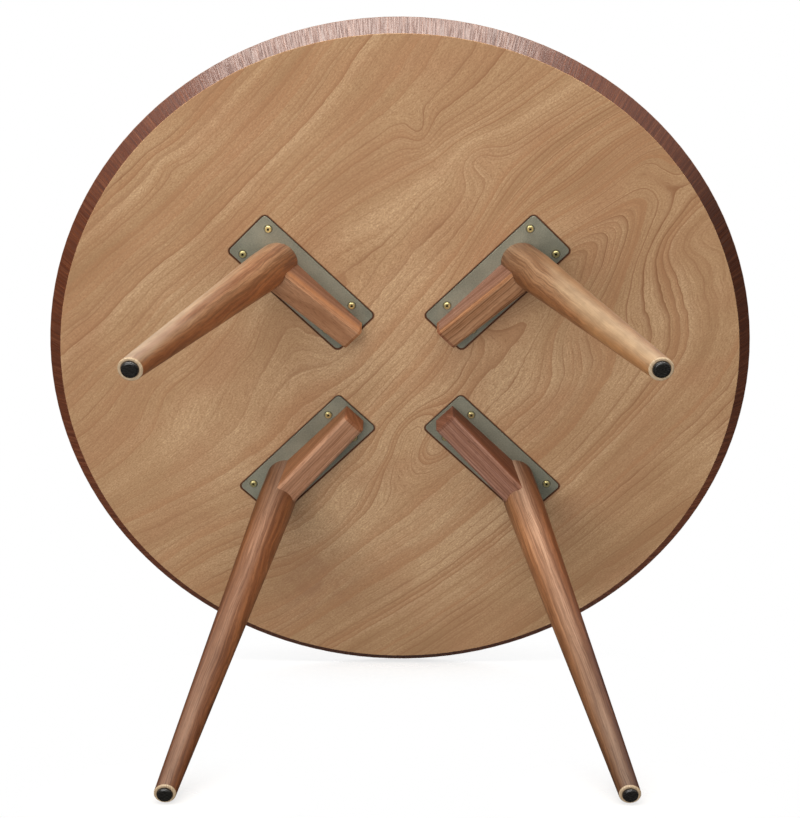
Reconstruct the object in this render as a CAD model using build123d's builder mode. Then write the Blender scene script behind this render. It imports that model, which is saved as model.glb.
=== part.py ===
from build123d import *
import os
from math import cos, hypot, radians, sin, tan

# Round dining table: a veneered top with an undercut edge on four splayed, turned legs.
# Millimetres. The origin is on the floor below the middle of the top, and +Z is up.

# Top panel
TABLE_DIAMETER = 1200.0
TABLE_HEIGHT = 740.0
TOP_THICKNESS = 22.0
EDGE_UNDERCUT = 22.0  # the underside's radius is this much less than the top face's
VENEER_THICKNESS = 0.6

# Mounting plates, let into pockets in the underside
PLATE_LENGTH = 251.0
PLATE_WIDTH = 89.0
PLATE_THICKNESS = 4.0
PLATE_CORNER_RADIUS = 7.0
PLATE_EDGE_BREAK = 0.5
PLATE_OUTREACH = 70.5  # from the leg's axis to the plate's outer end
POCKET_GAP = 2.5  # open line all round the plate

# Legs, turned and splayed
LEG_COUNT = 4
FIRST_LEG_ANGLE = 45.0
LEG_PITCH_RADIUS = 285.0  # of the leg axes, at the underside
LEG_SPLAY = 13.8
LEG_TOP_DIAMETER = 65.0
LEG_STRAIGHT_LENGTH = 95.0  # along the axis, before the taper
LEG_FOOT_DIAMETER = 31.0
LEG_FOOT_CHAMFER = 1.5

# Brace blocks, from the plate's inner end to the leg
BRACE_WIDTH = 40.0
BRACE_END_HEIGHT = 43.0
BRACE_SLOPE = 12.8
BRACE_CHAMFER = 4.5
BRACE_SETBACK = 4.5  # from the plate's inner end
GLUE_LINE = 0.1

# Dowels between brace and leg
DOWEL_DIAMETER = 10.0
DOWEL_LENGTH = 50.0
DOWEL_DEPTH = 20.0  # of the upper dowel below the underside
DOWEL_SPACING = 30.0
DOWEL_CHAMFER = 1.0

# Bolts that hold a plate to the top, and their threaded inserts
BOLT_DIAMETER = 6.0
BOLT_HEAD_DIAMETER = 11.5
BOLT_HEAD_HEIGHT = 4.0
BOLT_HEAD_ROUND = 1.2
BOLT_SOCKET_WIDTH = 4.0
BOLT_SOCKET_DEPTH = 2.2
BOLT_INNER_INSET = 39.5  # from the plate's inner end
BOLT_OUTER_INSET = 20.5  # from the plate's outer end
BOLT_SIDE_INSET = 13.5
INSERT_DIAMETER = 10.0
INSERT_COVER = 4.0  # core left between insert and top veneer
BOLT_TIP_GAP = 2.0

# Wood screws from the plate's hidden face into leg and brace
SCREW_DIAMETER = 5.0
SCREW_HEAD_DIAMETER = 9.5
SCREW_LENGTH = 38.0
SCREW_HEAD_ANGLE = 90.0
SCREW_POINT = 6.0
SCREW_TIP_DIAMETER = 0.6
LEG_SCREW_INSET = 17.0  # from the side of the leg
BRACE_SCREW_INSET = 32.0  # from the brace's inner end
BRACE_SCREW_SPACING = 64.0

# Levelling feet, screwed into the leg ends
FOOT_PROUD = 4.5
FOOT_MARGIN = 4.5  # ring of bare wood left round the foot
FOOT_ROUND = 3.0
FOOT_TRAVEL = 10.0
STEM_DIAMETER = 8.0
STEM_HEAD_DIAMETER = 14.0
STEM_HEAD_HEIGHT = 2.0
STEM_POINT = 1.0
FOOT_INSERT_DIAMETER = 12.0
FOOT_INSERT_LENGTH = 18.0
STEM_BORE_RUNOUT = 4.0
STEM_BORE_CLEARANCE = 0.5

# Fits
THREAD_CLEARANCE = 0.05  # radial, bolt or stem in its insert
SEAT_CLEARANCE = 0.05  # radial, insert, dowel, screw or stem head in its seat
BOLT_HOLE_CLEARANCE = 0.3

# Levels and lengths that follow
underside = TABLE_HEIGHT - TOP_THICKNESS
core_top = TABLE_HEIGHT - VENEER_THICKNESS
core_bottom = underside + VENEER_THICKNESS
plate_top = underside + PLATE_THICKNESS
leg_end = FOOT_PROUD
edge_slope = EDGE_UNDERCUT / TOP_THICKNESS
edge_veneer_inset = VENEER_THICKNESS * hypot(1, edge_slope)

plate_outer_end = LEG_PITCH_RADIUS + PLATE_OUTREACH
plate_inner_end = plate_outer_end - PLATE_LENGTH
plate_middle = (plate_inner_end + plate_outer_end) / 2
brace_end = plate_inner_end + BRACE_SETBACK

splay_sin = sin(radians(LEG_SPLAY))
splay_cos = cos(radians(LEG_SPLAY))
leg_axis_length = (underside - leg_end) / splay_cos
leg_taper = (LEG_TOP_DIAMETER - LEG_FOOT_DIAMETER) / 2 / (leg_axis_length - LEG_STRAIGHT_LENGTH)
foot_pitch_radius = LEG_PITCH_RADIUS + leg_axis_length * splay_sin

foot_diameter = LEG_FOOT_DIAMETER - 2 * FOOT_MARGIN
insert_length = core_top - INSERT_COVER - plate_top
bolt_length = PLATE_THICKNESS + insert_length - BOLT_TIP_GAP
screw_head_height = (SCREW_HEAD_DIAMETER - SCREW_DIAMETER) / 2 / tan(radians(SCREW_HEAD_ANGLE / 2))
stem_length = FOOT_INSERT_LENGTH + FOOT_TRAVEL
dowel_heights = [underside - DOWEL_DEPTH - DOWEL_SPACING * step for step in range(2)]

brace_slope = radians(BRACE_SLOPE)
brace_depth_at_leg = (BRACE_END_HEIGHT + (LEG_PITCH_RADIUS - brace_end) * tan(brace_slope)) / (
    1 - tan(radians(LEG_SPLAY)) * tan(brace_slope)
)

HANGING = (Align.CENTER, Align.CENTER, Align.MAX)
leg_angles = [FIRST_LEG_ANGLE + 360.0 / LEG_COUNT * turn for turn in range(LEG_COUNT)]
bolt_points = [
    (x, side * (PLATE_WIDTH / 2 - BOLT_SIDE_INSET))
    for x in (BOLT_INNER_INSET - PLATE_LENGTH / 2, PLATE_LENGTH / 2 - BOLT_OUTER_INSET)
    for side in (-1, 1)
]
brace_screw_start = brace_end + BRACE_SCREW_INSET - plate_middle
leg_screw_side = LEG_TOP_DIAMETER / 2 - LEG_SCREW_INSET
screw_points = [
    (brace_screw_start, 0),
    (brace_screw_start + BRACE_SCREW_SPACING, 0),
    (LEG_PITCH_RADIUS - plate_middle, -leg_screw_side),
    (LEG_PITCH_RADIUS - plate_middle, leg_screw_side),
]


def edge_radius(height):
    """Radius of the top's slanted edge at a height."""
    return TABLE_DIAMETER / 2 - (TABLE_HEIGHT - height) * edge_slope


def level_plane(angle, radius, height):
    """Level plane on a leg's spoke, with X pointing outward."""
    outward = Vector(1, 0, 0).rotate(Axis.Z, angle)
    return Plane(origin=outward * radius + Vector(0, 0, height), x_dir=outward, z_dir=(0, 0, 1))


def spoke_plane(angle):
    """Upright plane through a leg's axis: X is the distance from the middle, Y the height."""
    outward = Vector(1, 0, 0).rotate(Axis.Z, angle)
    return Plane(origin=(0, 0, 0), x_dir=outward, z_dir=outward.cross(Vector(0, 0, 1)))


def plate_plane(angle, height):
    """Level plane centred over a mounting plate."""
    return level_plane(angle, plate_middle, height)


def leg_point(along, out=0.0):
    """Point in a spoke plane, at a distance along the leg's axis and out from it."""
    return (
        LEG_PITCH_RADIUS + along * splay_sin + out * splay_cos,
        underside - along * splay_cos + out * splay_sin,
    )


def leg_radius(along):
    """Radius of the leg at a distance along its axis: straight at first, then tapered."""
    return LEG_TOP_DIAMETER / 2 - max(along - LEG_STRAIGHT_LENGTH, 0) * leg_taper


def leg_axis(angle):
    """Axis of one leg, from the underside to the floor."""
    plane = spoke_plane(angle)
    start = plane.from_local_coords(leg_point(0))
    return Axis(start, plane.from_local_coords(leg_point(1)) - start)


def leg_profile(angle, skin=0.0):
    """Half section of the leg's turning blank, longer than the leg and grown by skin."""
    first, last = -LEG_TOP_DIAMETER, leg_axis_length + LEG_FOOT_DIAMETER
    with BuildSketch(spoke_plane(angle)) as profile:
        with BuildLine():
            Polyline(
                leg_point(first),
                leg_point(first, leg_radius(first) + skin),
                leg_point(LEG_STRAIGHT_LENGTH, leg_radius(LEG_STRAIGHT_LENGTH) + skin),
                leg_point(last, leg_radius(last) + skin),
                leg_point(last),
                close=True,
            )
        make_face()
    return profile.sketch


def dowel_plane(angle, height):
    """Plane across a dowel at its leg end, with Z pointing inward along the dowel."""
    along = (underside - height) / splay_cos
    seam = LEG_PITCH_RADIUS + along * splay_sin - leg_radius(along) / splay_cos
    level = level_plane(angle, seam + DOWEL_LENGTH / 2, height)
    return Plane(origin=level.origin, z_dir=-level.x_dir)


def save(piece, name):
    """Label a finished piece and write it."""
    piece.part.label = name
    export_step(piece.part, f"parts/{name}.step")


def slice_profile(low, high, inset=0.0):
    """Half section of the top between two heights, held inside the slanted edge by an inset."""
    with BuildSketch(Plane.XZ) as profile:
        with BuildLine():
            Polyline(
                (0, low),
                (edge_radius(low) - inset, low),
                (edge_radius(high) - inset, high),
                (0, high),
                close=True,
            )
        make_face()
    return profile.sketch


def pocket_outline(angle, height):
    """Outline of one plate pocket."""
    with BuildSketch(plate_plane(angle, height)) as outline:
        RectangleRounded(
            PLATE_LENGTH + 2 * POCKET_GAP,
            PLATE_WIDTH + 2 * POCKET_GAP,
            PLATE_CORNER_RADIUS + POCKET_GAP,
        )
    return outline.sketch


def make_top():
    """Core panel and the three veneers that cover it."""
    with BuildPart() as top_veneer:
        revolve(slice_profile(core_top, TABLE_HEIGHT), axis=Axis.Z)
    save(top_veneer, "top_veneer")

    with BuildPart() as edge_veneer:
        revolve(slice_profile(core_bottom, core_top), axis=Axis.Z)
        revolve(slice_profile(core_bottom, core_top, edge_veneer_inset), axis=Axis.Z, mode=Mode.SUBTRACT)
    save(edge_veneer, "edge_veneer")

    with BuildPart() as backing_veneer:
        revolve(slice_profile(underside, core_bottom), axis=Axis.Z)
        for angle in leg_angles:
            extrude(pocket_outline(angle, underside), amount=VENEER_THICKNESS, mode=Mode.SUBTRACT)
    save(backing_veneer, "backing_veneer")

    with BuildPart() as core:
        revolve(slice_profile(core_bottom, core_top, edge_veneer_inset), axis=Axis.Z)
        for angle in leg_angles:
            extrude(pocket_outline(angle, core_bottom), amount=plate_top - core_bottom, mode=Mode.SUBTRACT)
            with BuildSketch(plate_plane(angle, plate_top)):
                with Locations(*bolt_points):
                    Circle(INSERT_DIAMETER / 2 + SEAT_CLEARANCE)
            extrude(amount=insert_length, mode=Mode.SUBTRACT)
    save(core, "tabletop_core")


def make_plate(angle, number):
    """Steel plate with bolt holes, and countersinks in its hidden face for the wood screws."""
    hidden_face = plate_plane(angle, plate_top)
    with BuildPart(hidden_face) as plate:
        with BuildSketch(hidden_face):
            RectangleRounded(PLATE_LENGTH, PLATE_WIDTH, PLATE_CORNER_RADIUS)
        extrude(amount=-PLATE_THICKNESS)
        chamfer(plate.faces().sort_by(Axis.Z)[0].edges(), PLATE_EDGE_BREAK)
        with Locations(*bolt_points):
            Hole(BOLT_DIAMETER / 2 + BOLT_HOLE_CLEARANCE)
        with Locations(*screw_points):
            CounterSinkHole(
                radius=SCREW_DIAMETER / 2 + SEAT_CLEARANCE,
                counter_sink_radius=SCREW_HEAD_DIAMETER / 2 + SEAT_CLEARANCE,
                counter_sink_angle=SCREW_HEAD_ANGLE,
            )
    save(plate, f"mounting_plate_{number}")


def make_plate_bolts(angle, number):
    """Socket-head bolts under one plate."""
    seat = plate_plane(angle, underside)
    with BuildPart() as bolts:
        with BuildSketch(seat):
            with Locations(*bolt_points):
                Circle(BOLT_HEAD_DIAMETER / 2)
        extrude(amount=-BOLT_HEAD_HEIGHT)
        fillet(bolts.edges().group_by(Axis.Z)[0], BOLT_HEAD_ROUND)
        with BuildSketch(seat):
            with Locations(*bolt_points):
                Circle(BOLT_DIAMETER / 2)
        extrude(amount=bolt_length)
        with BuildSketch(seat.offset(-BOLT_HEAD_HEIGHT)):
            with Locations(*bolt_points):
                RegularPolygon(BOLT_SOCKET_WIDTH / 2, 6, major_radius=False)
        extrude(amount=BOLT_SOCKET_DEPTH, mode=Mode.SUBTRACT)
    save(bolts, f"plate_bolts_{number}")


def make_threaded_inserts(angle, number):
    """Sleeves in the core that the plate bolts screw into."""
    with BuildPart() as inserts:
        with BuildSketch(plate_plane(angle, plate_top)):
            with Locations(*bolt_points):
                Circle(INSERT_DIAMETER / 2)
                Circle(BOLT_DIAMETER / 2 + THREAD_CLEARANCE, mode=Mode.SUBTRACT)
        extrude(amount=insert_length)
    save(inserts, f"threaded_inserts_{number}")


def make_leg_screws(angle, number):
    """Countersunk wood screws from the plate into brace and leg."""
    with BuildPart(plate_plane(angle, plate_top)) as screws:
        with Locations(*screw_points):
            Cone(SCREW_DIAMETER / 2, SCREW_HEAD_DIAMETER / 2, screw_head_height, align=HANGING)
            Cylinder(SCREW_DIAMETER / 2, SCREW_LENGTH - SCREW_POINT, align=HANGING)
        with Locations(*[(x, y, SCREW_POINT - SCREW_LENGTH) for x, y in screw_points]):
            Cone(SCREW_TIP_DIAMETER / 2, SCREW_DIAMETER / 2, SCREW_POINT, align=HANGING)
    save(screws, f"leg_screws_{number}")


def cut_screw_holes(angle):
    """Pilot holes for the wood screws, below the plate."""
    with BuildSketch(plate_plane(angle, underside)) as holes:
        with Locations(*screw_points):
            Circle(SCREW_DIAMETER / 2 + SEAT_CLEARANCE)
    extrude(holes.sketch, amount=PLATE_THICKNESS - SCREW_LENGTH, mode=Mode.SUBTRACT)


def cut_dowel_holes(angle):
    """Holes for the dowels between brace and leg."""
    for height in dowel_heights:
        with BuildSketch(dowel_plane(angle, height)) as hole:
            Circle(DOWEL_DIAMETER / 2 + SEAT_CLEARANCE)
        extrude(hole.sketch, amount=DOWEL_LENGTH, mode=Mode.SUBTRACT)


def make_leg(angle, number):
    """Tapered turned leg, cut level at the plate and at the floor, and bored for its foot."""
    end_plane = level_plane(angle, foot_pitch_radius, leg_end)
    with BuildPart() as leg:
        revolve(leg_profile(angle), axis=leg_axis(angle))
        split(bisect_by=Plane.XY.offset(underside), keep=Keep.BOTTOM)
        split(bisect_by=Plane.XY.offset(leg_end), keep=Keep.TOP)
        chamfer(leg.edges().group_by(Axis.Z)[0], LEG_FOOT_CHAMFER)
        with BuildSketch(end_plane):
            Circle(FOOT_INSERT_DIAMETER / 2 + SEAT_CLEARANCE)
        extrude(amount=FOOT_INSERT_LENGTH, mode=Mode.SUBTRACT)
        with BuildSketch(end_plane):
            Circle(STEM_DIAMETER / 2 + STEM_BORE_CLEARANCE)
        extrude(amount=stem_length + STEM_BORE_RUNOUT, mode=Mode.SUBTRACT)
        cut_screw_holes(angle)
        cut_dowel_holes(angle)
    save(leg, f"leg_{number}")


def make_brace(angle, number):
    """Tapered block between plate and leg, coped to the leaning round of the leg."""
    side = spoke_plane(angle)
    with BuildPart() as brace:
        with BuildSketch(side):
            with BuildLine():
                Polyline(
                    (brace_end, underside),
                    leg_point(0),
                    leg_point(brace_depth_at_leg / splay_cos),
                    (brace_end, underside - BRACE_END_HEIGHT),
                    close=True,
                )
            make_face()
        extrude(amount=BRACE_WIDTH / 2, both=True)
        lower_edge = Axis((0, 0, 0), side.x_dir * cos(brace_slope) - side.y_dir * sin(brace_slope))
        chamfer(brace.edges().filter_by(lower_edge), BRACE_CHAMFER)
        revolve(leg_profile(angle, GLUE_LINE), axis=leg_axis(angle), mode=Mode.SUBTRACT)
        cut_screw_holes(angle)
        cut_dowel_holes(angle)
    save(brace, f"brace_{number}")


def make_brace_dowels(angle, number):
    """Dowels between brace and leg."""
    with BuildPart() as dowels:
        for height in dowel_heights:
            with BuildSketch(dowel_plane(angle, height)):
                Circle(DOWEL_DIAMETER / 2)
            extrude(amount=DOWEL_LENGTH)
        chamfer(dowels.edges().filter_by(GeomType.CIRCLE), DOWEL_CHAMFER)
    save(dowels, f"brace_dowels_{number}")


def make_foot(angle, number):
    """Levelling foot: a pad, the stem in it, and the sleeve in the leg end that the stem screws into."""
    end_plane = level_plane(angle, foot_pitch_radius, leg_end)
    with BuildPart() as pad:
        with BuildSketch(end_plane):
            Circle(foot_diameter / 2)
        extrude(amount=-FOOT_PROUD)
        fillet(pad.edges().group_by(Axis.Z)[0], FOOT_ROUND)
        with BuildSketch(end_plane):
            Circle(STEM_HEAD_DIAMETER / 2 + SEAT_CLEARANCE)
        extrude(amount=-STEM_HEAD_HEIGHT, mode=Mode.SUBTRACT)
    save(pad, f"levelling_pad_{number}")

    with BuildPart() as stem:
        with BuildSketch(end_plane):
            Circle(STEM_HEAD_DIAMETER / 2)
        extrude(amount=-STEM_HEAD_HEIGHT)
        with BuildSketch(end_plane):
            Circle(STEM_DIAMETER / 2)
        extrude(amount=stem_length)
        chamfer(stem.edges().group_by(Axis.Z)[-1], STEM_POINT)
    save(stem, f"levelling_stem_{number}")

    with BuildPart() as insert:
        with BuildSketch(end_plane):
            Circle(FOOT_INSERT_DIAMETER / 2)
            Circle(STEM_DIAMETER / 2 + THREAD_CLEARANCE, mode=Mode.SUBTRACT)
        extrude(amount=FOOT_INSERT_LENGTH)
    save(insert, f"foot_insert_{number}")


os.makedirs("parts", exist_ok=True)
make_top()
for number, angle in enumerate(leg_angles, 1):
    make_plate(angle, number)
    make_plate_bolts(angle, number)
    make_threaded_inserts(angle, number)
    make_leg(angle, number)
    make_brace(angle, number)
    make_brace_dowels(angle, number)
    make_leg_screws(angle, number)
    make_foot(angle, number)
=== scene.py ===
from math import cos, degrees, radians, sin, tan

import bpy
from mathutils import Matrix, Vector

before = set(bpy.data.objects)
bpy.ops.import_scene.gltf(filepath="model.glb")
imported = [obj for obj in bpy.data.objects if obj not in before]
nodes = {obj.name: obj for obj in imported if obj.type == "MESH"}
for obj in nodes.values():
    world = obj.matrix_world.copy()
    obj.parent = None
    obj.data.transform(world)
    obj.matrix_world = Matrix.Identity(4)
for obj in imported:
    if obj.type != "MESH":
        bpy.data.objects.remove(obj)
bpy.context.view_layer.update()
scene = bpy.context.scene
scene.view_settings.view_transform = "Standard"

# Places on the table, in metres
UNDERSIDE = 0.718
TOP = 0.740
TOP_RADIUS = 0.600
LEG_PITCH = 0.285
LEG_SPLAY = radians(13.8)
LEG_END = 0.0045
LEG_CHAMFER = 0.0015
LEG_STRAIGHT = 0.095
LEG_LENGTH = 0.735
LEG_TOP_RADIUS = 0.0325
LEG_FOOT_RADIUS = 0.0155
BRACE_START = 0.109
BRACE_END_HEIGHT = 0.043
BRACE_CHAMFER = 0.0045
BRACE_SLOPE = radians(12.8)
FOOT_RADIUS = 0.011
BOLT_RADII = (0.144, 0.335)
BOLT_SIDE = 0.031
SOCKET_RADIUS = 0.0023
POCKET_MIDDLE = 0.230
POCKET_HALF_LENGTH = 0.128
POCKET_HALF_WIDTH = 0.047
POCKET_CORNER = 0.0095

LEG_ANGLES = {number: radians(90 * number - 45) for number in range(1, 5)}
UP = Vector((0, 0, 1))
DIAGONAL = 0.5 ** 0.5


# Node building

class Graph:
    """Short spellings for the nodes of a material or the world. A value is a number, a tuple or a node's output."""

    def __init__(self, owner):
        self.owner = owner
        owner.use_nodes = True
        self.tree = owner.node_tree
        self.tree.nodes.clear()

    def put(self, socket, value):
        if isinstance(value, bpy.types.NodeSocket):
            self.tree.links.new(value, socket)
        else:
            if socket.type == "RGBA" and len(value) == 3:
                value = (*value, 1.0)
            socket.default_value = value

    def add(self, kind, inputs=(), **settings):
        made = self.tree.nodes.new("ShaderNode" + kind)
        for name, value in settings.items():
            setattr(made, name, value)
        for key, value in dict(inputs).items():
            self.put(made.inputs[key], value)
        return made

    def place(self):
        return self.add("TexCoord").outputs["Object"]

    def math(self, operation, *values):
        return self.add("Math", enumerate(values), operation=operation).outputs[0]

    def plus(self, *values):
        total = values[0]
        for value in values[1:]:
            total = self.math("ADD", total, value)
        return total

    def times(self, a, b):
        return self.math("MULTIPLY", a, b)

    def scaled(self, value, factor, shift):
        return self.math("MULTIPLY_ADD", value, factor, shift)

    def vector(self, operation, *values):
        return self.add("VectorMath", enumerate(values), operation=operation).outputs

    def dot(self, vector, direction):
        return self.vector("DOT_PRODUCT", vector, direction)["Value"]

    def away(self, vector, origin):
        return self.vector("SUBTRACT", vector, origin)["Vector"]

    def length(self, vector):
        return self.vector("LENGTH", vector)["Value"]

    def join(self, *values):
        return self.add("CombineXYZ", enumerate(values)).outputs[0]

    def split(self, vector):
        return self.add("SeparateXYZ", {0: vector}).outputs

    def noise(self, *coordinates, detail=2.0, roughness=0.5):
        """Noise from 0 to 1 over two or three coordinates, each a number or a value with its pace per metre."""
        paced = [self.times(*entry) if isinstance(entry, tuple) else entry for entry in coordinates]
        return self.add(
            "TexNoise",
            {"Vector": self.join(*paced), "Scale": 1.0, "Detail": detail, "Roughness": roughness},
        ).outputs["Fac"]

    def sway(self, width, *coordinates, detail=2.0):
        """Noise as a distance to either side."""
        return self.scaled(self.noise(*coordinates, detail=detail), width, -width / 2)

    def lines(self, value, pace, shift=0.0, detail=2.0, roughness=0.5):
        """Noise from 0 to 1 along one value, with its pace per metre."""
        return self.add(
            "TexNoise",
            {"W": self.scaled(value, pace, shift), "Scale": 1.0, "Detail": detail, "Roughness": roughness},
            noise_dimensions="1D",
        ).outputs["Fac"]

    def range(self, value, low, high, to_low=0.0, to_high=1.0, smooth=False):
        return self.add(
            "MapRange",
            {"Value": value, "From Min": low, "From Max": high, "To Min": to_low, "To Max": to_high},
            interpolation_type="SMOOTHSTEP" if smooth else "LINEAR",
        ).outputs["Result"]

    def ramp(self, value, *stops):
        made = self.add("ValToRGB", {"Fac": value})
        elements = made.color_ramp.elements
        while len(elements) < len(stops):
            elements.new(1.0)
        for element, (position, colour) in zip(elements, stops):
            element.position = position
            element.color = (*colour, 1.0)
        return made.outputs["Color"]

    def mix(self, amount, a, b, blend="MIX"):
        made = self.add("Mix", {"Factor": amount}, data_type="RGBA", blend_type=blend)
        self.put(made.inputs[6], a)
        self.put(made.inputs[7], b)
        return made.outputs[2]

    def tinted(self, colour, painted_shading):
        return self.mix(1.0, colour, painted_shading, "MULTIPLY")

    def blend(self, value, *stops):
        """Colour that runs straight from stop to stop. Unlike a ramp's, it may be brighter than 1."""
        colour = stops[0][1]
        for (start, _), (end, target) in zip(stops, stops[1:]):
            colour = self.mix(self.range(value, start, end), colour, target)
        return colour

    def bump(self, height, distance, strength):
        return self.add(
            "Bump", {"Height": height, "Distance": distance, "Strength": strength}
        ).outputs["Normal"]

    def output(self, shader, kind="Material"):
        self.tree.links.new(shader.outputs[0], self.add("Output" + kind).inputs["Surface"])
        return self.owner

    def surface(self, **inputs):
        return self.output(
            self.add("BsdfPrincipled", {key.replace("_", " "): value for key, value in inputs.items()})
        )


def material_graph(name):
    return Graph(bpy.data.materials.new(name))


def dress(material, *names):
    """Give CAD nodes a material."""
    for name in names:
        mesh = nodes[name].data
        mesh.materials.clear()
        mesh.materials.append(material)


def grey(level):
    return (level, level, level)


def darker(colour, amount):
    return tuple(amount * part for part in colour)


def leg_directions(number):
    """Outwards and sideways at one leg."""
    angle = LEG_ANGLES[number]
    out = Vector((cos(angle), sin(angle), 0.0))
    return out, UP.cross(out)


def folded(g):
    """Places of all four legs laid on one: x, y and z there, and the distances outwards and sideways."""
    x, y, z = g.split(g.place())
    x, y = g.math("ABSOLUTE", x), g.math("ABSOLUTE", y)
    out = g.times(g.plus(x, y), DIAGONAL)
    side = g.times(g.math("ABSOLUTE", g.math("SUBTRACT", x, y)), DIAGONAL)
    return x, y, z, out, side


# What is left of a hill one length or one width from its middle
HILL_FALL = 0.3679


def swell(g, u, v, middle, length, width, height, turn=0.0):
    """A smooth hill over two coordinates. Middle, length and width are in metres, and turn is in radians."""
    du, dv = g.plus(u, -middle[0]), g.plus(v, -middle[1])
    along = g.plus(g.times(du, cos(turn) / length), g.times(dv, sin(turn) / length))
    across = g.plus(g.times(du, -sin(turn) / width), g.times(dv, cos(turn) / width))
    fall = g.plus(g.times(along, along), g.times(across, across))
    return g.times(g.math("POWER", HILL_FALL, fall), height)


# Wood of the panel

VENEER_TURN = radians(40)

# Each swell in the veneer: middle x and y, length, width, turn from the grain, and height, in metres and radians
VENEER_SWELLS = (
    (0.023, -0.480, 0.350, 0.220, -0.556, 0.084),
    (-0.145, -0.211, 0.136, 0.077, -0.067, 0.063),
    (0.033, -0.421, 0.032, 0.022, -0.935, -0.035),
    (0.220, -0.499, 0.285, 0.107, 0.494, -0.113),
    (0.423, -0.340, 0.030, 0.022, 1.184, 0.027),
    (0.386, -0.362, 0.068, 0.027, -0.005, 0.052),
    (0.511, -0.259, 0.146, 0.037, 0.178, 0.038),
    (0.472, -0.345, 0.350, 0.220, -1.947, 0.225),
    (0.186, -0.187, 0.112, 0.057, -0.367, 0.212),
    (0.181, -0.125, 0.260, 0.076, -1.215, -0.029),
    (-0.106, 0.290, 0.111, 0.035, -0.091, -0.021),
    (0.015, 0.145, 0.065, 0.033, -0.341, 0.124),
    (-0.191, 0.326, 0.325, 0.093, -0.613, -0.040),
    (-0.205, -0.102, 0.101, 0.061, -1.413, 0.057),
    (0.068, 0.316, 0.350, 0.186, -0.007, -0.065),
    (-0.386, 0.032, 0.089, 0.067, 0.654, 0.043),
    (-0.273, -0.032, 0.154, 0.076, -1.664, 0.043),
    (0.305, -0.084, 0.195, 0.060, 0.184, 0.046),
    (-0.556, 0.357, 0.183, 0.068, 0.048, 0.051),
    (-0.374, -0.367, 0.037, 0.029, 0.836, 0.012),
    (0.126, -0.379, 0.041, 0.031, 0.083, 0.056),
    (0.046, -0.322, 0.067, 0.034, 0.194, 0.010),
    (0.288, -0.279, 0.101, 0.033, 0.098, 0.129),
    (0.034, 0.145, 0.075, 0.038, 0.264, -0.091),
    (0.366, 0.402, 0.014, 0.009, 0.000, 0.016),
)

VENEER_TONES = (
    (0.365, (0.392, 0.230, 0.114)),
    (0.500, (0.530, 0.338, 0.180)),
    (0.655, (0.685, 0.468, 0.268)),
)
VENEER_BLUSH = (0.470, 0.250, 0.132)
VENEER_RUDDY = (0.330, 0.160, 0.090)
VENEER_RING = (0.455, 0.225, 0.108)
VENEER_LINE = (0.232, 0.092, 0.039)
VENEER_HAIR = (0.265, 0.118, 0.054)
VENEER_FIBRE = (0.325, 0.170, 0.080)
VENEER_SPECK = (0.300, 0.160, 0.078)
VENEER_PORE = (0.215, 0.098, 0.044)
VENEER_POCKET_SHADOW = (0.120, 0.044, 0.019)


def off_pocket(g):
    """Distance from the nearest plate pocket, where POCKET_CORNER is its wall."""
    _, _, _, out, side = folded(g)
    past_middle = g.math("ABSOLUTE", g.plus(out, -POCKET_MIDDLE))
    past_end = g.math("MAXIMUM", g.plus(past_middle, POCKET_CORNER - POCKET_HALF_LENGTH), 0.0)
    past_side = g.math("MAXIMUM", g.plus(side, POCKET_CORNER - POCKET_HALF_WIDTH), 0.0)
    return g.length(g.join(past_end, past_side))


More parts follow.
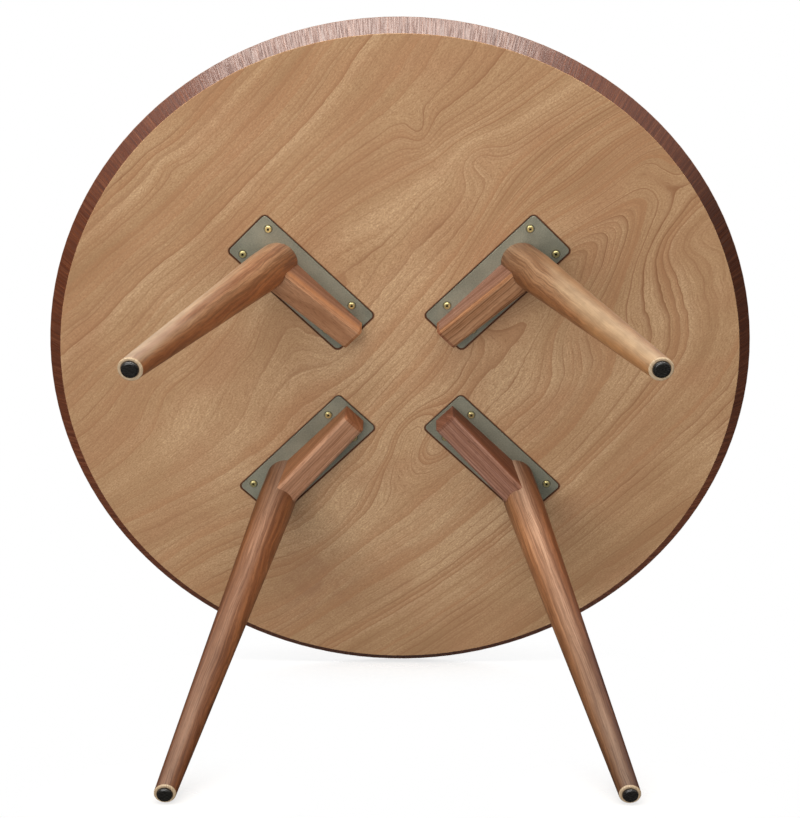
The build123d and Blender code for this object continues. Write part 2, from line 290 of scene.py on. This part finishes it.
def backing_veneer():
    """Pale rotary-cut veneer, its grain on the diagonal, with loops where the knife met a swell in the log."""
    g = material_graph("backing_veneer")
    place = g.place()
    x, y, _ = g.split(place)
    along = Vector((cos(VENEER_TURN), -sin(VENEER_TURN), 0.0))
    across = Vector((sin(VENEER_TURN), cos(VENEER_TURN), 0.0))
    u, v = g.dot(place, along), g.dot(place, across)
    hills = []
    for middle_x, middle_y, length, width, turn, height in VENEER_SWELLS:
        middle = Vector((middle_x, middle_y, 0.0))
        hills.append(swell(g, u, v, (middle.dot(along), middle.dot(across)), length, width, height, turn))
    ripple = g.sway(0.012, (u, 7.0), (v, 12.0), 3.0)
    wiggle = g.sway(0.006, (u, 26.0), (v, 48.0), 6.0)
    field = g.plus(v, *hills, ripple, wiggle)

    # Soft patches of other veneer, with one patch of painted light and one of painted shadow beside the legs
    plain = g.plus(
        swell(g, x, y, (-0.40, 0.16), 0.17, 0.14, 1.0),
        swell(g, x, y, (-0.09, 0.36), 0.13, 0.10, 0.9),
    )
    busy = swell(g, x, y, (0.36, -0.30), 0.17, 0.17, 0.60)
    bright = swell(g, x, y, (0.0, 0.08), 0.32, 0.32, 0.21)
    # Painted light, lifting the shade beside one leg
    pale = swell(g, x, y, (-0.08, 0.33), 0.11, 0.07, 0.12)
    # Painted shadow of a leg and brace on the underside
    painted_leg_shadow = swell(g, x, y, (0.34, 0.42), 0.10, 0.08, -0.07)
    ruddy = swell(g, x, y, (-0.155, 0.42), 0.085, 0.075, 1.0)

    # Growth rings: each darkens slowly and ends in a sharp line, and no two are alike
    pace = g.plus(g.times(field, 84.0), g.times(g.lines(field, 30.0), 2.4))
    phase, count = g.math("FRACT", pace), g.math("FLOOR", pace)
    each = g.lines(count, 7.31, detail=0.0)
    plateau = g.lines(count, 3.17, 9.0, detail=0.0)
    slow = g.times(g.range(phase, 0.40, 0.92, smooth=True), 0.50)
    sharp = g.times(g.range(phase, 0.80, 0.94), 0.50)
    late = g.times(g.plus(slow, sharp), g.range(phase, 1.0, 0.96))
    fade = g.range(g.noise((u, 6.0), (v, 9.0), 8.0), 0.34, 0.66, 0.28, 1.0)
    fade = g.plus(g.times(fade, g.scaled(plain, -0.75, 1.0)), busy)
    line = g.times(g.times(late, fade), g.range(each, 0.36, 0.64, 0.10, 1.0))
    ring = g.times(g.range(plateau, 0.46, 0.68, 0.0, 0.60), g.range(phase, 0.0, 0.7, 0.35, 1.0))
    hair = g.range(g.lines(field, 300.0, 3.0, detail=1.0), 0.52, 0.70)
    bands = g.plus(g.times(g.lines(field, 24.0), g.scaled(plain, -0.60, 1.0)), g.times(plain, 0.31))

    # Fine grain and broad changes
    fibre = g.noise((field, 440.0), (u, 64.0), 1.0, detail=3.0, roughness=0.65)
    speck = g.noise((u, 270.0), (v, 420.0), 4.0, roughness=0.7)
    pore = g.range(g.noise((field, 1300.0), (u, 150.0), 5.0, detail=1.0), 0.58, 0.74)
    cloud = g.noise((u, 4.0), (v, 7.0), 12.0, detail=3.0)
    blush = g.noise((u, 6.0), (v, 11.0), 21.0, detail=3.0)
    mottle = g.noise((u, 26.0), (v, 34.0), 31.0, detail=3.0, roughness=0.6)

    tone = g.ramp(g.plus(g.times(cloud, 0.50), g.times(bands, 0.45), bright, pale, painted_leg_shadow), *VENEER_TONES)
    tone = g.mix(g.range(blush, 0.47, 0.68, 0.0, 0.60), tone, VENEER_BLUSH)
    tone = g.mix(g.times(ruddy, g.range(mottle, 0.42, 0.60, 0.15, 0.75)), tone, VENEER_RUDDY)
    tone = g.mix(ring, tone, VENEER_RING)
    tone = g.mix(g.times(line, 0.98), tone, VENEER_LINE)
    tone = g.mix(g.times(g.times(hair, fade), 0.20), tone, VENEER_HAIR)
    tone = g.mix(g.range(fibre, 0.32, 0.68, 0.0, 0.50), tone, VENEER_FIBRE)
    tone = g.mix(g.range(speck, 0.34, 0.66, 0.0, 0.66), tone, VENEER_SPECK)
    tone = g.mix(g.times(pore, 0.45), tone, VENEER_PORE)
    # Painted shadow along the gap round each plate pocket
    pocket_shadow = g.range(off_pocket(g), POCKET_CORNER + 0.0016, POCKET_CORNER + 0.0003)
    tone = g.mix(g.times(pocket_shadow, g.range(cloud, 0.35, 0.65, 0.55, 0.95)), tone, VENEER_POCKET_SHADOW)
    relief = g.plus(g.times(fibre, 0.5), g.times(speck, 0.4), g.times(pore, -0.5))
    return g.surface(
        Base_Color=tone,
        Roughness=g.range(fibre, 0.2, 0.8, 0.50, 0.64),
        Normal=g.bump(relief, 0.00014, 0.5),
        Specular_IOR_Level=0.2,
    )


def walnut(g, ring, along, side, palette, lined=0.72):
    """Walnut's colour, relief and fibre from a growth-ring distance and two coordinates, all in metres. The palette
    is dark, middle, light and streak. Lined is how far the fine lines go to the streak colour."""
    dark, middle, light, streak = palette
    bands = g.lines(ring, 85.0, roughness=0.6)
    fine = g.lines(ring, 330.0, 4.0, roughness=0.6)
    fibre = g.noise((ring, 900.0), (along, 20.0), (side, 300.0), detail=3.0, roughness=0.6)
    pore = g.range(g.noise((ring, 1700.0), (along, 75.0), (side, 900.0), detail=1.0), 0.56, 0.72)
    cloud = g.noise((ring, 22.0), (along, 3.0), (side, 18.0))
    tone = g.ramp(
        g.plus(g.times(bands, 0.65), g.times(cloud, 0.35)), (0.36, dark), (0.50, middle), (0.64, light)
    )
    tone = g.mix(g.range(fine, 0.44, 0.70, 0.0, lined), tone, streak)
    tone = g.mix(g.range(fibre, 0.38, 0.66, 0.0, 0.52), tone, streak)
    tone = g.mix(g.times(pore, 0.50), tone, darker(streak, 0.45))
    relief = g.plus(g.times(fibre, 0.6), g.times(pore, -0.9))
    return tone, relief, fibre


TOP_WALNUT = ((0.165, 0.076, 0.042), (0.245, 0.118, 0.066), (0.325, 0.168, 0.098), (0.120, 0.052, 0.028))


def top_veneer():
    """Satin walnut veneer on the top face, cut flat, with long arches."""
    g = material_graph("top_veneer")
    x, y, z = g.split(g.place())
    hills = [
        swell(g, x, y, (0.05, -0.18), 0.55, 0.070, 0.085, 0.03),
        swell(g, x, y, (-0.22, 0.16), 0.50, 0.060, 0.072, -0.02),
        swell(g, x, y, (0.30, 0.42), 0.42, 0.050, 0.055, 0.02),
    ]
    ring = g.plus(y, *hills, g.sway(0.060, (x, 1.4), (y, 4.0)))
    tone, relief, fibre = walnut(g, ring, x, z, TOP_WALNUT)
    return g.surface(
        Base_Color=tone,
        Roughness=g.range(fibre, 0.2, 0.8, 0.38, 0.52),
        Normal=g.bump(relief, 0.00010, 0.4),
        Specular_IOR_Level=0.32,
    )


EDGE_WALNUT = ((0.098, 0.026, 0.010), (0.150, 0.044, 0.018), (0.208, 0.072, 0.032), (0.058, 0.015, 0.006))
EDGE_FLECK = (0.052, 0.013, 0.005)
EDGE_WORN = (0.46, 0.28, 0.17)

# How wide the edge's grain is drawn: less is wider
EDGE_PACE = 1.9

# Painted light and shade round the edge: brightness by the angle round the table in degrees
EDGE_PAINTED_LIGHT = (
    (-180, 1.20), (-150, 1.08), (-60, 1.10), (-40, 0.95), (-30, 0.60), (-10, 0.72), (2, 1.05), (12, 1.25),
    (22, 1.95), (40, 1.75), (60, 1.10), (90, 0.58), (120, 1.10), (140, 1.75), (160, 1.85), (180, 1.20),
)


def edge_veneer():
    """Walnut veneer round the slanted edge, its grain across the edge."""
    g = material_graph("edge_veneer")
    x, y, z = g.split(g.place())
    around = g.math("ARCTAN2", y, x)
    arc = g.times(around, EDGE_PACE * TOP_RADIUS)
    ring = g.plus(arc, g.times(z, 0.10), g.sway(0.05, (x, 6.0), (y, 6.0)))
    tone, relief, fibre = walnut(g, ring, z, 0.0, EDGE_WALNUT)
    fleck = g.range(g.noise((arc, 210.0), (z, 34.0), detail=3.0, roughness=0.65), 0.42, 0.62)
    tone = g.mix(g.times(fleck, 0.62), tone, EDGE_FLECK)
    # Painted light and shade on the edge, by its angle round the table
    strips = [(angle, grey(level)) for angle, level in EDGE_PAINTED_LIGHT]
    tone = g.tinted(tone, g.blend(g.times(around, degrees(1.0)), *strips))
    tone = g.mix(g.range(z, UNDERSIDE + 0.0007, UNDERSIDE, 0.0, 0.20), tone, EDGE_WORN)
    return g.surface(
        Base_Color=tone,
        Roughness=g.range(fleck, 0.0, 1.0, 0.24, 0.45),
        Normal=g.bump(g.plus(g.times(relief, 0.4), g.times(fleck, -1.0)), 0.00007, 0.5),
        Specular_IOR_Level=0.58,
    )


def panel_core():
    """Dense fibreboard, seen in the walls of the plate pockets."""
    g = material_graph("panel_core")
    x, y, z = g.split(g.place())
    fluff = g.noise((x, 900.0), (y, 900.0), (z, 1500.0), detail=3.0, roughness=0.7)
    ply = g.lines(z, 1300.0, detail=1.0)
    tone = g.ramp(
        g.plus(g.times(fluff, 0.6), g.times(ply, 0.4)),
        (0.30, (0.110, 0.040, 0.018)),
        (0.70, (0.240, 0.096, 0.044)),
    )
    return g.surface(Base_Color=tone, Roughness=0.85, Normal=g.bump(fluff, 0.0003, 0.6))


# Wood of the legs and braces, each palette as dark, middle, light and streak

WALNUT = ((0.200, 0.082, 0.039), (0.280, 0.125, 0.063), (0.360, 0.175, 0.095), (0.120, 0.045, 0.020))
BROWN = ((0.205, 0.090, 0.040), (0.300, 0.145, 0.069), (0.385, 0.205, 0.108), (0.142, 0.058, 0.025))
ROSE = ((0.235, 0.098, 0.048), (0.375, 0.174, 0.094), (0.490, 0.258, 0.158), (0.160, 0.060, 0.028))
UMBER = ((0.185, 0.074, 0.036), (0.300, 0.132, 0.074), (0.400, 0.200, 0.130), (0.115, 0.038, 0.019))
TEAK = ((0.330, 0.150, 0.068), (0.450, 0.222, 0.108), (0.560, 0.305, 0.162), (0.240, 0.100, 0.043))

LEG_END_TONES = ((0.35, (0.360, 0.250, 0.145)), (0.65, (0.560, 0.425, 0.280)))
LEG_END_PAINTED_SHADE = (0.190, 0.110, 0.055)
LEG_END_PAINTED_SHADOW = (0.050, 0.028, 0.014)

# Where a leg's painted light and shade tints are, as shares of its radius
PAINTED_LIGHT_PLACES = (-0.8, -0.4, 0.0, 0.4, 0.8)

# Where a leg's painted shade by the top is full, and where its painted light and shade along it is none, in metres
PAINTED_SHADE_TOP = 0.05
PAINTED_SHADE_NONE = 0.20

# How far one glued strip's rings are from the next one's
LEG_STRIP_STEP = 0.0473
BRACE_STRIP_STEP = 0.0371


def leg_wood(number, palette, turn, strips, painted_light, fade, sap=None):
    """Solid walnut along one leg, glued up from strips. Turn is the direction across the strips and the growth rings
    in degrees, strips their edges in metres, painted_light the painted highlight and shade from side to side, partly
    the wood's own colour, fade the painted shade by the top and the painted light and shade at the foot, and sap an
    optional pale side as lean, edge and colour."""
    g = material_graph(f"leg_wood_{number}")
    out, tangent = leg_directions(number)
    axis = out * sin(LEG_SPLAY) - UP * cos(LEG_SPLAY)
    back = out * cos(LEG_SPLAY) + UP * sin(LEG_SPLAY)
    place = g.place()
    spot = g.away(place, out * LEG_PITCH + UP * UNDERSIDE)
    turn = radians(turn)
    along = g.dot(spot, axis)
    across = g.dot(spot, back * cos(turn) + tangent * sin(turn))
    face = g.dot(spot, tangent * cos(turn) - back * sin(turn))

    strip = 0.0
    for edge in strips:
        strip = g.plus(strip, g.math("GREATER_THAN", across, edge))
    wobble = g.sway(0.022, (along, 3.0), (strip, 5.0), number)
    waver = g.sway(0.005, (along, 14.0), (across, 22.0), (face, 22.0))
    curve = g.times(g.times(face, face), 9.0)
    ring = g.plus(across, curve, wobble, waver, g.times(strip, LEG_STRIP_STEP))
    tone, relief, fibre = walnut(g, ring, along, face, palette, lined=0.62)
    _, _, light, streak = palette
    stroke = g.noise((ring, 300.0), (along, 7.0), (face, 40.0), detail=3.0, roughness=0.6)
    tone = g.mix(g.range(stroke, 0.52, 0.62, 0.0, 0.66), tone, streak)
    tone = g.mix(g.range(stroke, 0.48, 0.34, 0.0, 0.36), tone, light)

    if sap:
        lean, edge, colour = sap
        ragged = g.sway(0.030, (along, 7.0), (across, 95.0), (face, 95.0), detail=3.0)
        pale = g.plus(g.dot(spot, back + axis * lean), -edge, ragged)
        mottle = g.noise((along, 24.0), (across, 90.0), (face, 90.0), detail=3.0)
        sapwood = g.mix(g.range(mottle, 0.38, 0.62, 0.0, 0.62), colour, darker(colour, 0.60))
        sapwood = g.mix(g.range(fibre, 0.35, 0.75, 0.0, 0.45), sapwood, darker(colour, 0.62))
        sapwood = g.mix(0.22, sapwood, tone)
        tone = g.mix(g.range(pale, -0.008, 0.012, 0.0, 0.92, smooth=True), tone, sapwood)

    # Painted light and shade: a highlight and shade across the leg, partly the wood's own colour, and brightness by
    # the top and at the foot
    radius = g.range(along, LEG_STRAIGHT, LEG_LENGTH, LEG_TOP_RADIUS, LEG_FOOT_RADIUS)
    painted_shading = g.blend(g.math("DIVIDE", across, radius), *zip(PAINTED_LIGHT_PLACES, painted_light))
    # Painted shade by the top and painted light and shade at the foot
    by_top, at_foot = fade
    painted_along = g.blend(along, (PAINTED_SHADE_TOP, grey(by_top)), (PAINTED_SHADE_NONE, grey(1.0)), (LEG_LENGTH, grey(at_foot)))
    tone = g.tinted(g.tinted(tone, painted_shading), painted_along)

    # The cut end, with painted shade and a painted shadow round the foot
    chamfered = LEG_END + LEG_CHAMFER
    cut = g.range(g.split(place)[2], chamfered + 0.0002, chamfered - 0.0003)
    end = g.ramp(g.lines(ring, 700.0), *LEG_END_TONES)
    off_axis = g.length(g.join(across, face))
    end = g.mix(g.range(off_axis, FOOT_RADIUS + 0.0016, FOOT_RADIUS, 0.0, 0.75), end, LEG_END_PAINTED_SHADE)
    end = g.mix(g.range(off_axis, FOOT_RADIUS + 0.0005, FOOT_RADIUS + 0.0002), end, LEG_END_PAINTED_SHADOW)
    return g.surface(
        Base_Color=g.mix(cut, tone, end),
        Roughness=g.range(fibre, 0.2, 0.8, 0.37, 0.49),
        Normal=g.bump(relief, 0.00012, 0.5),
        Specular_IOR_Level=0.42,
    )


def brace_wood(number, palette, seam, lift, slant, lined, painted_light):
    """Solid walnut along one brace, glued up from two strips. Seam is where the second one starts across the brace in
    metres, lift how much paler it is, slant how the growth rings lean across, down and along the brace, and
    painted_light the painted light and shade on the broad face, on the sides by their lower and upper edges, and on
    the end, as colours."""
    g = material_graph(f"brace_wood_{number}")
    out, tangent = leg_directions(number)
    spot = g.away(g.place(), out * BRACE_START + UP * UNDERSIDE)
    along, side = g.dot(spot, out), g.dot(spot, tangent)
    strip = g.math("GREATER_THAN", side, seam)
    wobble = g.sway(0.008, (along, 6.0), (strip, 5.0), 10.0 + number)
    across_rings = tangent * slant[0] - UP * slant[1] + out * slant[2]
    ring = g.plus(g.dot(spot, across_rings), wobble, g.times(strip, BRACE_STRIP_STEP))
    tone, relief, fibre = walnut(g, ring, along, side, palette, lined)
    _, _, light, streak = palette
    tone = g.mix(g.times(strip, lift), tone, light)
    glue = g.range(g.math("ABSOLUTE", g.plus(side, -seam)), 0.0008, 0.0003)
    tone = g.mix(g.times(glue, 0.45), tone, streak)

    # Painted light and shade, each face its own, the sides shaded from their lower to their upper edge
    face, low_side, high_side, end = painted_light
    height = g.plus(g.dot(spot, UP), g.times(along, tan(BRACE_SLOPE)), BRACE_END_HEIGHT)
    side_painted_shading = g.mix(g.range(height, 0.012, 0.032, smooth=True), low_side, high_side)
    painted_shading = g.mix(g.range(height, BRACE_CHAMFER, BRACE_CHAMFER + 0.001), face, side_painted_shading)
    painted_shading = g.mix(g.range(along, 0.0050, 0.0040), painted_shading, end)
    return g.surface(
        Base_Color=g.tinted(tone, painted_shading),
        Roughness=g.range(fibre, 0.2, 0.8, 0.50, 0.62),
        Normal=g.bump(relief, 0.00012, 0.5),
        Specular_IOR_Level=0.15,
    )


def dowel_wood():
    """Plain pale beech."""
    g = material_graph("dowel_wood")
    x, y, z = g.split(g.place())
    fleck = g.noise((x, 200.0), (y, 200.0), (z, 900.0), detail=3.0)
    tone = g.ramp(fleck, (0.3, (0.50, 0.33, 0.18)), (0.7, (0.66, 0.47, 0.28)))
    return g.surface(Base_Color=tone, Roughness=0.6, Normal=g.bump(fleck, 0.0001, 0.4))


# Metal and plastic

PLATE_PAINTED_SHADOW = (0.040, 0.036, 0.024)
BOLT_SHADOW_START = 0.0082
BOLT_SHADOW_FULL = 0.0062
SOCKET_PAINTED_SHADE = (0.035, 0.024, 0.010)


def zinc_plate(number):
    """Dull zinc on rolled steel: faint rolling lines along the plate, spangle, and painted shadow round the bolt
    heads.
    """
    g = material_graph(f"zinc_plate_{number}")
    place = g.place()
    out, tangent = leg_directions(number)
    along, side = g.dot(place, out), g.dot(place, tangent)
    grain = g.noise((along, 260.0), (side, 1500.0), detail=3.0, roughness=0.7)
    spangle = g.noise((along, 420.0), (side, 420.0), detail=3.0, roughness=0.6)
    cloud = g.noise((along, 14.0), (side, 20.0), number, detail=3.0)
    tone = g.ramp(
        g.plus(g.times(grain, 0.35), g.times(spangle, 0.25), g.times(cloud, 0.40)),
        (0.36, (0.150, 0.148, 0.108)),
        (0.64, (0.330, 0.318, 0.240)),
    )
    inner, outer = BOLT_RADII
    from_middle = g.math("ABSOLUTE", g.plus(along, -(inner + outer) / 2))
    past_bolt = g.plus(from_middle, -(outer - inner) / 2)
    off_bolt = g.length(g.join(past_bolt, g.plus(g.math("ABSOLUTE", side), -BOLT_SIDE)))
    # Painted shadow round the bolt heads
    tone = g.mix(g.range(off_bolt, BOLT_SHADOW_START, BOLT_SHADOW_FULL, 0.0, 0.85), tone, PLATE_PAINTED_SHADOW)
    return g.surface(
        Base_Color=tone,
        Metallic=0.35,
        Roughness=g.range(spangle, 0.25, 0.75, 0.42, 0.58),
        Normal=g.bump(g.plus(grain, spangle), 0.00005, 0.5),
    )


def plated(name, low, high, roughness):
    """Plated turned metal, with fine turning marks and handling stains."""
    g = material_graph(name)
    x, y, z = g.split(g.place())
    stain = g.noise((x, 500.0), (y, 500.0), (z, 500.0), detail=3.0, roughness=0.6)
    marks = g.lines(z, 6000.0)
    tone = g.ramp(g.plus(g.times(stain, 0.7), g.times(marks, 0.3)), (0.3, low), (0.7, high))
    return g.surface(
        Base_Color=tone,
        Metallic=1.0,
        Roughness=g.range(stain, 0.25, 0.75, roughness - 0.07, roughness + 0.09),
        Normal=g.bump(marks, 0.00003, 0.4),
    )


def bolt_zinc():
    """Yellow passivated zinc, with painted shade in the hexagon sockets."""
    g = material_graph("yellow_zinc")
    x, y, z, out, side = folded(g)
    spot = g.join(out, side)
    off_axis = g.math(
        "MINIMUM", *(g.length(g.away(spot, (radius, BOLT_SIDE, 0.0))) for radius in BOLT_RADII)
    )
    stain = g.noise((x, 420.0), (y, 420.0), (z, 420.0), detail=3.0, roughness=0.6)
    marks = g.lines(off_axis, 9000.0)
    tone = g.ramp(
        g.plus(g.times(stain, 0.7), g.times(marks, 0.3)),
        (0.3, (0.68, 0.56, 0.20)),
        (0.7, (0.92, 0.83, 0.44)),
    )
    # Painted shade in the hexagon sockets, which are also rougher
    socket = g.range(off_axis, SOCKET_RADIUS, SOCKET_RADIUS - 0.0003)
    return g.surface(
        Base_Color=g.mix(socket, tone, SOCKET_PAINTED_SHADE),
        Metallic=0.85,
        Roughness=g.plus(g.range(stain, 0.25, 0.75, 0.24, 0.38), g.times(socket, 0.35)),
        Normal=g.bump(marks, 0.00002, 0.3),
    )


def black_nylon():
    """Moulded black plastic with a fine skin and a few scuffs."""
    g = material_graph("black_nylon")
    x, y, z = g.split(g.place())
    skin = g.noise((x, 1800.0), (y, 1800.0), (z, 1800.0))
    scuff = g.noise((x, 260.0), (y, 700.0), (z, 260.0), detail=3.0, roughness=0.7)
    tone = g.ramp(scuff, (0.45, (0.008, 0.007, 0.006)), (0.80, (0.030, 0.028, 0.025)))
    return g.surface(
        Base_Color=tone,
        Roughness=g.range(scuff, 0.3, 0.75, 0.18, 0.36),
        Normal=g.bump(skin, 0.00004, 0.4),
    )


# Dressing the pieces

# Each leg's painted_light is painted highlight and shade across it, partly the wood's own colour, and its fade is
# painted light and shade along it
LEGS = {
    1: dict(
        palette=WALNUT, turn=-50.7, strips=(-0.011, 0.010), fade=(0.56, 0.34),
        painted_light=((1.40, 1.38, 1.13), (1.68, 2.11, 2.46), (1.88, 2.51, 3.18), (0.94, 0.88, 0.83), (0.86, 0.52, 0.21)),
    ),
    2: dict(
        palette=WALNUT, turn=-126.4, strips=(-0.007, 0.007), fade=(0.56, 0.68),
        painted_light=((0.68, 0.48, 0.21), (1.22, 1.42, 1.63), (1.18, 1.44, 1.76), (0.81, 0.71, 0.58), (1.01, 0.77, 0.49)),
    ),
    3: dict(
        palette=WALNUT, turn=180.0, strips=(0.004,), fade=(0.86, 0.84), sap=(0.055, 0.036, (0.40, 0.245, 0.160)),
        painted_light=((1.49, 1.79, 1.82), (1.27, 1.38, 1.46), (1.22, 1.40, 1.36), (1.12, 0.91, 0.60), (1.64, 1.09, 0.53)),
    ),
    4: dict(
        palette=BROWN, turn=180.0, strips=(), fade=(0.86, 1.27), sap=(0.13, 0.040, (0.430, 0.260, 0.143)),
        painted_light=((0.73, 0.69, 0.64), (0.98, 1.17, 1.34), (1.00, 1.17, 1.28), (0.91, 0.95, 0.94), (1.06, 0.85, 0.59)),
    ),
}
# Each brace's painted_light is painted light and shade on its faces
BRACES = {
    1: dict(
        palette=UMBER, seam=-0.004, lift=0.10, slant=(0.9, 0.5, -0.10), lined=0.72,
        painted_light=((0.88, 0.94, 1.03), (0.92, 0.80, 0.74), (0.58, 0.47, 0.40), (0.68, 0.63, 0.63)),
    ),
    2: dict(
        palette=ROSE, seam=0.004, lift=0.15, slant=(0.9, 0.5, -0.12), lined=0.45,
        painted_light=((0.89, 0.96, 0.97), (0.82, 0.82, 0.74), (0.70, 0.66, 0.54), (0.66, 0.54, 0.42)),
    ),
    3: dict(
        palette=TEAK, seam=0.030, lift=0.00, slant=(0.10, 1.0, -0.22), lined=0.40,
        painted_light=((1.10, 1.14, 1.23), (1.20, 1.20, 1.22), (0.60, 0.58, 0.68), (0.75, 0.68, 0.62)),
    ),
    4: dict(
        palette=ROSE, seam=0.030, lift=0.00, slant=(0.60, 1.2, -0.25), lined=1.00,
        painted_light=((1.06, 1.14, 1.03), (0.86, 1.00, 1.20), (0.74, 0.82, 1.00), (0.75, 0.68, 0.62)),
    ),
}

dress(backing_veneer(), "backing_veneer")
dress(top_veneer(), "top_veneer")
dress(edge_veneer(), "edge_veneer")
dress(panel_core(), "tabletop_core")

dowels = dowel_wood()
bolts = bolt_zinc()
brass = plated("insert_brass", (0.52, 0.36, 0.13), (0.74, 0.56, 0.24), 0.32)
screws = plated("screw_steel", (0.42, 0.40, 0.36), (0.62, 0.60, 0.54), 0.34)
stems = plated("stem_steel", (0.44, 0.43, 0.40), (0.64, 0.63, 0.58), 0.30)
nylon = black_nylon()
for number in LEG_ANGLES:
    dress(leg_wood(number, **LEGS[number]), f"leg_{number}")
    dress(brace_wood(number, **BRACES[number]), f"brace_{number}")
    dress(zinc_plate(number), f"mounting_plate_{number}")
    dress(bolts, f"plate_bolts_{number}")
    dress(brass, f"threaded_inserts_{number}")
    dress(dowels, f"brace_dowels_{number}")
    dress(screws, f"leg_screws_{number}")
    dress(nylon, f"levelling_pad_{number}")
    dress(stems, f"levelling_stem_{number}", f"foot_insert_{number}")


# Floors

# The standing table's floor is this low so that feet screwed right out still show
STANDING_FLOOR = -0.0105
STANDING_HALF = 1.8

# The tipped table rests on its rim and two feet, with its floor just clear of them
TIPPED_FOOT_X = 0.3254
TIPPED_FOOT_Y = 0.3409
TIPPED_GAP = 0.0005
TIPPED_HALF = 1.6
TIPPED_BELOW = -1.4
TIPPED_ABOVE = 1.0
RIM_SHADOW = (0.45, 1, 1)
ROUND_SHADOW = (1, 1, 1)


def floor_material(name, spots, reach, strength, gain):
    """Shadows on a white floor near some spots, clear elsewhere and from behind. Gain makes up for the light that
    the floor lacks."""
    g = material_graph(name)
    place = g.place()
    near = 0.0
    for spot, stretch in spots:
        offset = g.vector("MULTIPLY", g.away(place, spot), stretch)["Vector"]
        near = g.math("MAXIMUM", near, g.range(g.length(offset), reach, 0.0, smooth=True))
    shade = g.times(near, strength)
    seen = g.add("BsdfTransparent", {"Color": g.scaled(shade, -1.0, 1.0)})
    matt = g.add("BsdfDiffuse", {"Color": g.times(shade, gain)})
    lit = g.add("AddShader", {0: seen.outputs[0], 1: matt.outputs[0]})
    clear = g.add("BsdfTransparent")
    back = g.add("NewGeometry").outputs["Backfacing"]
    return g.output(g.add("MixShader", {0: back, 1: lit.outputs[0], 2: clear.outputs[0]}))


def make_floor(name, corners, material):
    mesh = bpy.data.meshes.new(name)
    mesh.from_pydata(corners, [], [(0, 1, 2, 3)])
    mesh.materials.append(material)
    floor = bpy.data.objects.new(name, mesh)
    scene.collection.objects.link(floor)
    floor.visible_diffuse = floor.visible_glossy = floor.visible_transmission = floor.visible_shadow = False


rim_rest = Vector((0.0, TOP_RADIUS, TOP))
foot_rests = [Vector((side * TIPPED_FOOT_X, TIPPED_FOOT_Y, LEG_END)) for side in (-1, 1)]
slope = (rim_rest - Vector((0.0, TIPPED_FOOT_Y, LEG_END))).normalized()
facing = Vector((1, 0, 0)).cross(slope)
base = rim_rest - facing * TIPPED_GAP
make_floor(
    "floor_under_tipped_table",
    [
        base + Vector((x, 0, 0)) + slope * rise
        for x, rise in (
            (-TIPPED_HALF, TIPPED_BELOW), (TIPPED_HALF, TIPPED_BELOW),
            (TIPPED_HALF, TIPPED_ABOVE), (-TIPPED_HALF, TIPPED_ABOVE),
        )
    ],
    floor_material(
        "tipped_floor",
        [(rim_rest, RIM_SHADOW)] + [(rest, ROUND_SHADOW) for rest in foot_rests],
        reach=0.22, strength=0.30, gain=1.0,
    ),
)
make_floor(
    "floor_under_standing_table",
    [(x * STANDING_HALF, y * STANDING_HALF, STANDING_FLOOR) for x, y in ((-1, -1), (1, -1), (1, 1), (-1, 1))],
    floor_material(
        "standing_floor", [((0, 0, STANDING_FLOOR), ROUND_SHADOW)], reach=1.3, strength=0.45, gain=1.08
    ),
)


# Light

# Which way is up from the tipped table's floor
TIPPED_UP = (0.0, -0.943, 0.332)
SOFT_LIGHT = 0.30


def studio_world():
    """White to the camera, even soft light on surfaces, and in reflections white only from above the tipped table."""
    g = Graph(bpy.data.worlds.new("studio"))
    path = g.add("LightPath").outputs
    way = g.add("TexCoord").outputs["Generated"]
    raised = g.range(g.dot(way, TIPPED_UP), 0.10, 0.55, 0.04, 1.0)
    mirrored = g.math("MAXIMUM", path["Is Glossy Ray"], path["Is Transmission Ray"])
    soft = g.add("Mix", {"Factor": mirrored, "A": SOFT_LIGHT, "B": raised}).outputs["Result"]
    level = g.math("MAXIMUM", path["Is Camera Ray"], soft)
    return g.output(g.add("Background", {"Color": grey(1.0), "Strength": level}), "World")


def make_light(name, place, target, size, watts, colour=(1, 1, 1), mirrored=True):
    lamp = bpy.data.lights.new(name, "AREA")
    lamp.shape = "RECTANGLE"
    lamp.size, lamp.size_y = size
    lamp.energy = watts
    lamp.color = colour
    light = bpy.data.objects.new(name, lamp)
    light.location = place
    light.rotation_euler = (Vector(target) - Vector(place)).to_track_quat("-Z", "Y").to_euler()
    light.visible_glossy = mirrored
    scene.collection.objects.link(light)


scene.world = studio_world()
make_light("key", (-0.38, -3.55, 0.20), (0, 0, 0.55), (5.2, 0.8), 180, (1.0, 0.945, 0.88))
make_light("front_fill", (-1.30, -2.30, -4.80), (0, 0, 0.7), (4.4, 4.4), 275)
make_light("over_top", (0.3, 0.2, 2.9), (0, 0, 0.74), (1.2, 1.2), 42)
make_light("back_fill", (0.6, 3.7, 1.3), (0, 0, 0.4), (3.0, 1.4), 52, mirrored=False)


# Camera, below and in front of the tipped table

CAMERA_PLACE = (0.01777, -1.12995, -1.79479)
CAMERA_FORWARD = (-0.0062, 0.4306, 0.9025)
CAMERA_UPWARD = (0.0, -0.9025, 0.4306)

forward = Vector(CAMERA_FORWARD).normalized()
upward = Vector(CAMERA_UPWARD)
upward = (upward - forward * upward.dot(forward)).normalized()
rightward = forward.cross(upward)
camera_data = bpy.data.cameras.new("camera")
camera_data.lens = 70.88
camera_data.sensor_width = 36.0
camera_data.clip_end = 50.0
camera = bpy.data.objects.new("camera", camera_data)
turned = Matrix((rightward, upward, -forward)).transposed().to_4x4()
camera.matrix_world = Matrix.Translation(CAMERA_PLACE) @ turned
scene.collection.objects.link(camera)
scene.camera = camera
